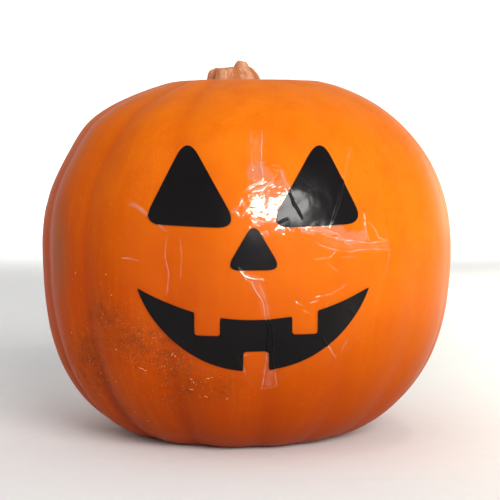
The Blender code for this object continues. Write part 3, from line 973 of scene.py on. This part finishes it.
def mouth_outline():
    lower = toothed_lip(lip_height(MOUTH_LOWER_Z), LOWER_TEETH_X, TOOTH_HEIGHT)
    upper = toothed_lip(lip_height(MOUTH_UPPER_Z), UPPER_TEETH_X, -TOOTH_HEIGHT)
    corner = (MOUTH_HALF_WIDTH, MOUTH_CORNER_Z)
    return softened(lower + [corner] + upper[:0:-1], MOUTH_CORNER_RADIUS)


def eye_outline(side):
    return softened([(side * (EYE_OFFSET + x), z) for x, z in EYE_CORNERS], EYE_CORNER_RADIUS)


def distance_to_line(places, line):
    """Distance from each place to a line of straight runs."""
    nearest = np.full(len(places), np.inf)
    for start, end in zip(line, line[1:]):
        start, run = np.array(start), np.subtract(end, start)
        share = np.clip((places - start) @ run / (run @ run), 0, 1)
        nearest = np.minimum(nearest, np.linalg.norm(places - start - share[:, None] * run, axis=1))
    return nearest


def wander(x, z, spacing, seed):
    """Noise from -1 to 1 at a place in millimetres."""
    return noise.noise(Vector((x / spacing, z / spacing, seed)))


def fold_crest(flat, line, half_width):
    """1 along a fold's line, down to 0 beside it, and fading towards both of its ends."""
    ends = np.min([np.linalg.norm(flat - np.array(line[k]), axis=1) for k in (0, -1)], axis=0)
    fade = np.clip(FOLD_END_SHARE + ends / FOLD_END_LENGTH, 0, 1)
    return fade * np.exp(-((distance_to_line(flat, line) / half_width) ** 2))


def film_relief(places):
    """Height of the film's folds over the skin, how pale each place looks and how loose it is."""
    flat = np.array(places) / MM
    strays = [[wander(x, z, FOLD_STRAY_LENGTH, seed) for seed in (1.7, 4.2)] for x, z in flat]
    bent = flat + FOLD_STRAY * np.array(strays)
    swings = np.array([wander(x, z, PALENESS_LENGTH, 8.1) for x, z in flat])
    patchy = np.clip(FOLD_PALENESS + PALENESS_SWING * swings, *PALENESS_LIMITS)
    height, fold = np.zeros(len(flat)), np.zeros(len(flat))
    for line, rise, half_width, pale in FOLDS:
        crest = fold_crest(bent, line, half_width)
        height = np.maximum(height, rise * crest)
        fold = np.maximum(fold, pale * crest)
    x, z = flat.T
    loose = np.zeros(len(flat))
    for middle, level, across, upwards in LOOSE_PATCHES:
        away = ((x - middle) / across) ** 2 + ((z - level) / upwards) ** 2
        loose = np.maximum(loose, np.exp(-away))
    for middle, level, radius, rise in BUBBLES:
        away = np.hypot(x - middle, z - level) / radius
        height = np.maximum(height, rise * np.exp(-(away**2)))
    ripples = np.array([ripple_at(*place) for place in zip(x, z, loose)])
    return (height + ripples) * MM, fold * patchy, loose


def ripple_at(x, z, looseness):
    """Height in millimetres of the soft ripples, larger where the film isn't pressed down."""
    fine = sum(height * wander(x, z, spacing, seed) for height, spacing, seed in FINE_RIPPLES)
    broad_height, broad_spacing, broad_seed = BROAD_RIPPLE
    broad = broad_height * wander(x, z, broad_spacing, broad_seed)
    lift = PRESSED_LIFT + LOOSE_LIFT * looseness
    return lift + fine * (PRESSED_RIPPLE + LOOSE_RIPPLE * looseness) + broad


def cut_flat(shape, along, low, high):
    """Cuts the flat outline across, evenly, along an axis."""
    normal = Vector((1, 0, 0)) if along == "x" else Vector((0, 0, 1))
    count = math.ceil((high - low) / SHEET_STEP)
    for i in range(1, count):
        everything = shape.verts[:] + shape.edges[:] + shape.faces[:]
        place = normal * (low + (high - low) * i / count)
        plane = {"plane_co": place, "plane_no": normal}
        bmesh.ops.bisect_plane(shape, geom=everything, dist=CUT_TOLERANCE, **plane)


def refine_near_folds(shape, reach):
    """Halves the edges of the flat sheet that are near a fold."""
    edges = shape.edges[:]
    middles = [(edge.verts[0].co + edge.verts[1].co) / 2 for edge in edges]
    flat = np.array([(middle.x, middle.z) for middle in middles]) / MM
    near = np.zeros(len(edges), bool)
    for line, _, half_width, _ in FOLDS:
        if half_width * MM < NARROW_FOLD:
            near |= distance_to_line(flat, line) * MM < reach
    chosen = [edge for edge, close in zip(edges, near) if close]
    bmesh.ops.subdivide_edges(shape, edges=chosen, cuts=1, use_grid_fill=True)


def laid_sheet(name, node, outline, lift, thickness, skin, material):
    """A thin sheet of this outline, seen from the front, laid on the skin over its own solid."""
    shape = bmesh.new()
    low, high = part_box(node)
    sides, rises = [x for x, _ in outline], [z for _, z in outline]
    shift = (low.x + high.x) / 2 - (min(sides) + max(sides)) / 2
    shape.faces.new([shape.verts.new((x + shift, 0, z)) for x, z in outline])
    sides = [x + shift for x in sides]
    cut_flat(shape, "x", min(sides), max(sides))
    cut_flat(shape, "z", min(rises), max(rises))
    for reach in FOLD_REACHES:
        refine_near_folds(shape, reach)
    bmesh.ops.triangulate(shape, faces=[face for face in shape.faces if len(face.verts) > 4])
    bmesh.ops.dissolve_degenerate(shape, dist=SHORTEST_EDGE, edges=shape.edges[:])
    vertices = shape.verts[:]
    places = [(vertex.co.x, vertex.co.z) for vertex in vertices]
    heights, folds, looseness = film_relief(places)
    above = {}
    inner_faces = shape.faces[:]
    rim = [edge for edge in shape.edges if edge.is_boundary]
    for vertex, height in zip(vertices, heights):
        x, _, z = vertex.co
        hit = skin.ray_cast(Vector((x, -SHEETS_FROM, z)), Vector((0, 1, 0)))[0]
        outward = (hit - HEART).normalized()
        vertex.co = hit + outward * (lift + height)
        above[vertex] = shape.verts.new(hit + outward * (lift + height + thickness))
    for face in inner_faces:
        shape.faces.new([above[vertex] for vertex in reversed(face.verts)])
    for edge in rim:
        a, b = edge.verts
        shape.faces.new((a, b, above[b], above[a]))
    values = (
        ("fold", "FLOAT", np.concatenate([folds, folds])),
        ("loose", "FLOAT", np.concatenate([looseness, looseness])),
    )
    return object_from(name, shape, material, values)


# Making the nicks and specks

NICKS = {
    "Nick Length": 0.0033,
    "Nick Width": 0.00055,
    "Nick Height": 0.00016,
    "Speck Size": 0.0006,
    "Speck Density": 2600.0,
    "Seed": 11,
}
# Healed nicks on the lower left: sideways place and height in millimetres, length share, tilt
NICK_PLACES = (
    (-81.6, 68.9, 0.7, 2.3),
    (-65.7, 57.9, 1.3, 2.4),
    (-63.2, 56.6, 0.6, 2.9),
    (-46.0, 68.0, 0.8, 0.6),
    (-44.3, 66.9, 0.5, 1.9),
    (-34.5, 52.5, 0.7, 2.2),
    (-33.0, 50.6, 0.5, 1.3),
    (-34.7, 45.7, 0.9, 2.5),
    (-24.0, 53.7, 0.8, 3.0),
    (-21.6, 54.3, 0.4, 0.5),
    (-25.4, 41.5, 0.8, 2.4),
    (-12.5, 40.6, 0.5, 0.9),
    (-93.7, 50.7, 0.4, 1.2),
    (-89.1, 46.6, 0.4, 2.0),
    (-82.7, 47.1, 0.4, 2.7),
    (-71.6, 26.4, 0.5, 0.2),
    (-63.3, 21.1, 0.5, 2.9),
    (-112.9, 75.9, 0.4, 0.1),
    (-109.0, 115.2, 0.6, 1.3),
    (-87.5, 116.0, 0.5, 1.1),
    (-84.0, 103.5, 0.5, 2.6),
)


def nick_places():
    """Points in front of the fruit, one for each nick, with its length share and tilt."""
    mesh = bpy.data.meshes.new("nick places")
    places = [(x * MM, -NICKS_FROM, z * MM) for x, z, _, _ in NICK_PLACES]
    mesh.from_pydata(places, [], [])
    for key, column in (("length", 2), ("tilt", 3)):
        rows = [place[column] for place in NICK_PLACES]
        mesh.attributes.new(key, "FLOAT", "POINT").data.foreach_set("value", rows)
    return mesh


def nick_tree(material):
    """Nicks at their own places, and specks strewn over the skin, most of them low on the left."""
    t = Shape("nicks and specks", NICKS, ["Skin"])
    skin = t.node("GeometryNodeObjectInfo", {}, {"Object": t["Skin"]}, "Geometry")

    # Nicks, dropped on the skin from the front
    ray = {"Target Geometry": skin, "Ray Direction": (0, 1, 0), "Ray Length": 1.0}
    caster = t.node("GeometryNodeRaycast", {}, ray, "Hit Position")
    hit_normal = Value(t, caster.socket.node.outputs["Hit Normal"])
    points = t.node("GeometryNodeMeshToPoints", {}, {"Mesh": t["Geometry"]})
    points = t.store(points, "facing", hit_normal, "FLOAT_VECTOR")
    points = t.node("GeometryNodeSetPosition", {}, {"Geometry": points, "Position": caster})

    def kept(name, kind="FLOAT"):
        return t.node("GeometryNodeInputNamedAttribute", {"data_type": kind}, {"Name": name})

    facing = t.node(
        "FunctionNodeAlignRotationToVector", {"axis": "Z"}, {"Vector": kept("facing", "FLOAT_VECTOR")}
    )
    spun = t.node(
        "FunctionNodeRotateRotation",
        {"rotation_space": "LOCAL"},
        {"Rotation": facing, "Rotate By": t.vector(0, 0, kept("tilt"))},
    )
    lens = t.node("GeometryNodeMeshIcoSphere", {}, {"Radius": 0.5, "Subdivisions": 2}, "Mesh")
    stretch = t.vector(t["Nick Length"] * kept("length"), t["Nick Width"], t["Nick Height"] * 2)
    nicks = t.node(
        "GeometryNodeInstanceOnPoints",
        {},
        {"Points": points, "Instance": lens, "Rotation": spun, "Scale": stretch},
    )

    # Specks
    x, y, z = t.parts(t.node("GeometryNodeInputPosition"))
    low_left = (1 - x.step(-0.09, 0.02)) * (1 - z.step(0.03, 0.10)) * (1 - y.step(-0.08, 0.04))
    crowd = t.clouds(t.node("GeometryNodeInputPosition"), 30, 2).step(0.5, 0.72)
    density = t["Speck Density"] * (low_left + 0.10) * crowd * z.step(0.002, 0.012)
    strewn = t.node(
        "GeometryNodeDistributePointsOnFaces",
        {"distribute_method": "RANDOM"},
        {"Mesh": skin, "Density": density, "Seed": t["Seed"]},
    )
    turned = Value(t, strewn.socket.node.outputs["Rotation"])
    varied = t.node(
        "FunctionNodeRandomValue",
        {"data_type": "FLOAT_VECTOR"},
        {0: (0.5, 0.4, 0.15), 1: (1.7, 1.0, 0.30), "Seed": t["Seed"]},
    )
    bead = t.node("GeometryNodeMeshIcoSphere", {}, {"Radius": 0.5, "Subdivisions": 1}, "Mesh")
    specks = t.node(
        "GeometryNodeInstanceOnPoints",
        {},
        {"Points": strewn, "Instance": bead, "Rotation": turned, "Scale": varied * t["Speck Size"]},
    )
    both = t.node("GeometryNodeJoinGeometry", {}, {"Geometry": nicks})
    t.made.links.new(specks.socket, both.socket.node.inputs["Geometry"])
    smooth = t.node("GeometryNodeSetShadeSmooth", {}, {"Geometry": both, "Shade Smooth": True})
    t.close(smooth, material)
    return t


# The studio

STUDIO_MIDDLE = Vector((0, 0, 0.13))
CAMERA_DISTANCE = 1.05
CAMERA_RISE = math.radians(4)
CAMERA_TURNS_ABOUT = Vector((0, 0, 0.122))
CAMERA_AIM = Vector((0.0018, 0, 0.1242))
LENS = 110.2
KEY_AZIMUTH, KEY_RISE, KEY_DISTANCE = math.radians(24.5), math.radians(22), 4.0
KEY_SIZE = (2.5, 1.5)
KEY_POWER = 159.0
KEY_TINT = (1.0, 0.985, 0.96)
RIM_AZIMUTH, RIM_RISE, RIM_DISTANCE = math.radians(142), math.radians(4), 3.5
RIM_SIZE = (2.2, 0.8)
RIM_POWER = 17.0
RIM_TINT = (1.0, 0.94, 0.70)
WASH_PLACE, WASH_TARGET = Vector((0, 1.4, 2.6)), Vector((0, 3.4, 0.3))
WASH_SIZE, WASH_POWER = (2.0, 0.6), 46.0
WASH_SPREAD = math.radians(86)
POOL_PLACE, POOL_SIZE, POOL_POWER = Vector((0.80, 0.46, 1.0)), (0.9, 1.5), 9.8
POOL_SPREAD = math.radians(38)
ROOM_STRENGTH = 0.55
# The floor's rings as shares of its radius, the bend at its edge and the top of the wall
FLOOR_RADIUS, FLOOR_SEGMENTS = 3.0, 96
FLOOR_RINGS = (0.02, 0.05, 0.12, 0.25, 0.5, 0.75, 1)
BEND_RADIUS, BEND_STEPS = 2.5, 12
WALL_TOP = 3.0


def look_along(item, place, target):
    """Puts a camera or a lamp at a place and points it at a target."""
    item.location = place
    item.rotation_euler = (target - place).to_track_quat("-Z", "Y").to_euler()


def from_front(azimuth, rise, distance, middle):
    """A place round a middle, by azimuth and rise."""
    flat = distance * math.cos(rise)
    offset = (flat * math.sin(azimuth), -flat * math.cos(azimuth), distance * math.sin(rise))
    return middle + Vector(offset)


def make_camera():
    camera = bpy.data.objects.new("camera", bpy.data.cameras.new("camera"))
    camera.data.lens = LENS
    camera.data.sensor_width = 36.0
    camera.data.clip_start = 0.01
    bpy.context.scene.collection.objects.link(camera)
    place = from_front(0, CAMERA_RISE, CAMERA_DISTANCE, CAMERA_TURNS_ABOUT)
    look_along(camera, place, CAMERA_AIM)
    bpy.context.scene.camera = camera


def make_light(name, place, target, size, power, colour=(1, 1, 1), spread=math.pi):
    lamp = bpy.data.lights.new(name, "AREA")
    lamp.shape = "RECTANGLE"
    lamp.size, lamp.size_y = size
    lamp.energy = power
    lamp.color = colour
    lamp.spread = spread
    made = bpy.data.objects.new(name, lamp)
    made.visible_camera = False
    bpy.context.scene.collection.objects.link(made)
    look_along(made, place, target)


def make_studio():
    make_camera()
    middle = STUDIO_MIDDLE
    key_place = from_front(KEY_AZIMUTH, KEY_RISE, KEY_DISTANCE, middle)
    make_light("key softbox", key_place, middle, KEY_SIZE, KEY_POWER, KEY_TINT)
    wash = (WASH_PLACE, WASH_TARGET, WASH_SIZE, WASH_POWER)
    make_light("backdrop wash", *wash, spread=WASH_SPREAD)
    rim_place = from_front(RIM_AZIMUTH, RIM_RISE, RIM_DISTANCE, middle)
    make_light("rim softbox", rim_place, middle, RIM_SIZE, RIM_POWER, RIM_TINT)
    below = Vector((POOL_PLACE.x, POOL_PLACE.y, 0))
    make_light("floor pool", POOL_PLACE, below, POOL_SIZE, POOL_POWER, RIM_TINT, POOL_SPREAD)
    world = bpy.data.worlds.new("studio")
    bpy.context.scene.world = world
    world.use_nodes = True
    around = world.node_tree.nodes["Background"]
    around.inputs["Color"].default_value = (1.0, 1.0, 1.0, 1.0)
    around.inputs["Strength"].default_value = ROOM_STRENGTH
    bpy.context.scene.view_settings.view_transform = "Standard"


def make_backdrop(material):
    """A pale round floor that curves up into a wall on every side."""
    outline = [(FLOOR_RADIUS * share, 0.0) for share in FLOOR_RINGS]
    for i in range(1, BEND_STEPS + 1):
        turn = math.pi / 2 * i / BEND_STEPS
        across, up = BEND_RADIUS * math.sin(turn), BEND_RADIUS - BEND_RADIUS * math.cos(turn)
        outline.append((FLOOR_RADIUS + across, up))
    outline.append((FLOOR_RADIUS + BEND_RADIUS, WALL_TOP))
    turns = [2 * math.pi * i / FLOOR_SEGMENTS for i in range(FLOOR_SEGMENTS)]
    shape = bmesh.new()
    rings = []
    for radius, height in outline:
        ring = [(radius * math.cos(t), radius * math.sin(t), height) for t in turns]
        rings.append([shape.verts.new(place) for place in ring])
    bridge_rings(shape, rings)
    close_with_fan(shape, rings[0], shape.verts.new((0, 0, 0)))
    floor = object_from("floor", shape, material)
    if floor.data.polygons[0].normal.z < 0:
        floor.data.flip_normals()
    return floor


# Putting it together


def declare(piece, slot, *nodes):
    """Says what a piece rides on and hides the nodes that it replaces; its slot is not used."""
    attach(piece, "root")
    if nodes:
        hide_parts(*nodes)


def main():
    rind = rind_finish()
    fruit = fruit_tree(rind).grow("rind", FRUIT)
    move_onto(fruit, "pumpkin")
    skin = skin_of(fruit)
    stem = make_stem(cork_finish())

    cut_edge = softened([(x * MM, z * MM) for x, z in FILM_CORNERS], FILM_CORNER_RADIUS)
    film = laid_sheet(
        "clear_sheet", "film", cut_edge, FILM_GAP, FILM_THICKNESS, skin, film_finish()
    )
    ink = print_finish()
    print_lift = FILM_GAP + FILM_THICKNESS + PRINT_GAP
    face = {
        "eye_left": eye_outline(-1),
        "eye_right": eye_outline(1),
        "nose": softened(NOSE_CORNERS, NOSE_CORNER_RADIUS),
        "mouth": mouth_outline(),
    }
    for node, outline in face.items():
        piece = laid_sheet(f"{node}_print", node, outline, print_lift, PRINT_THICKNESS, skin, ink)
        declare(piece, "black_print", node)

    nicks = nick_tree(scab_finish()).grow("nicks", {**NICKS, "Skin": fruit}, nick_places())
    declare(fruit, "rind", "pumpkin")
    declare(stem, "stem_cork", "stem")
    declare(film, "clear_film", "film")
    declare(nicks, "rind")

    floor = make_backdrop(backdrop_finish())
    make_studio()


main()
